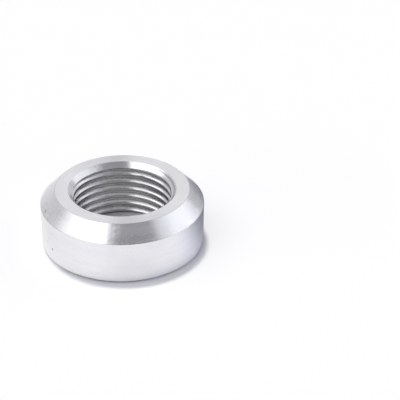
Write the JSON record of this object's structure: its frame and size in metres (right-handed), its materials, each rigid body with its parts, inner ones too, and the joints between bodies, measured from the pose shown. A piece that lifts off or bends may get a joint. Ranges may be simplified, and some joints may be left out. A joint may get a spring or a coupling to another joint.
{
  "type": "weld bung",
  "caption": "Turned aluminium ring to be welded into a pipe wall, with a wide weld chamfer round its top and a countersunk sensor thread right through it.",
  "frame": {"origin": "centre of the flat base, on the bore's axis", "axes": "+Z along the bore, from the flat base to the chamfered top; X and Y across the ring"},
  "size_m": [0.028, 0.028, 0.01],
  "materials": {
    "turned_aluminium": "bare metal as turned, satin, with fine tool marks round the axis"
  },
  "bodies": {
    "root": {"weld_bung": "turned_aluminium"}
  },
  "joints": []
}
